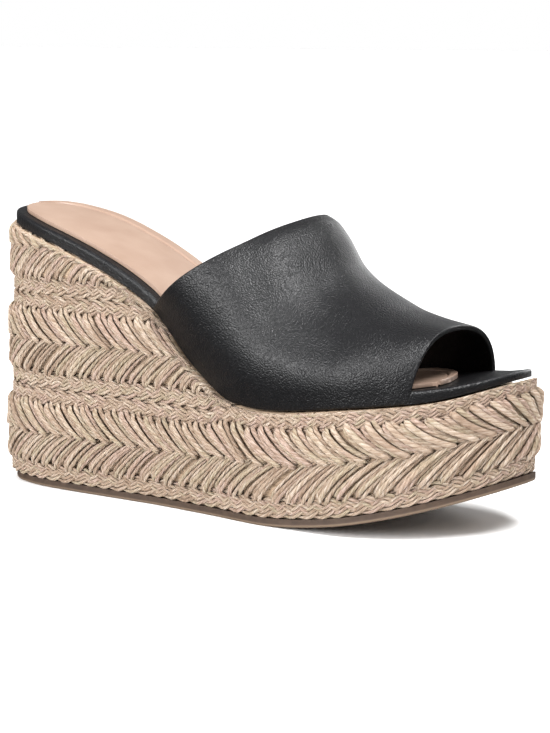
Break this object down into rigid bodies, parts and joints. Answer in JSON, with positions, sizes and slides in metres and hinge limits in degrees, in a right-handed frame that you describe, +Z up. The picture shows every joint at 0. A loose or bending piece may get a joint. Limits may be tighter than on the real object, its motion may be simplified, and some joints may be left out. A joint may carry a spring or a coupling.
{
  "type": "espadrille wedge sandal",
  "caption": "Right espadrille wedge slide: jute-braided platform wedge, black leather band upper, open toe and back.",
  "frame": {"origin": "centre of the shoe's box in plan, on the surface it stands on", "axes": "+X from heel to toe, +Y towards the medial (inner) side of the foot, +Z up"},
  "size_m": [0.245, 0.0884, 0.1205],
  "materials": {
    "outsole": "matt tan-brown moulded rubber sheet",
    "jute": "natural jute yarn, plaited and laid in herringbone, slightly hairy",
    "footbed": "black smooth leather wrapped over board, satin",
    "sock": "tan smooth lining leather over thin foam, matt",
    "upper": "black smooth leather with fine grain, satin, folded edges"
  },
  "bodies": {
    "root": {"outsole": "outsole", "wedge_lower_tier": "jute", "wedge_middle_tier": "jute", "wedge_upper_tier": "jute", "footbed": "footbed", "sock": "sock", "upper": "upper"}
  },
  "joints": []
}
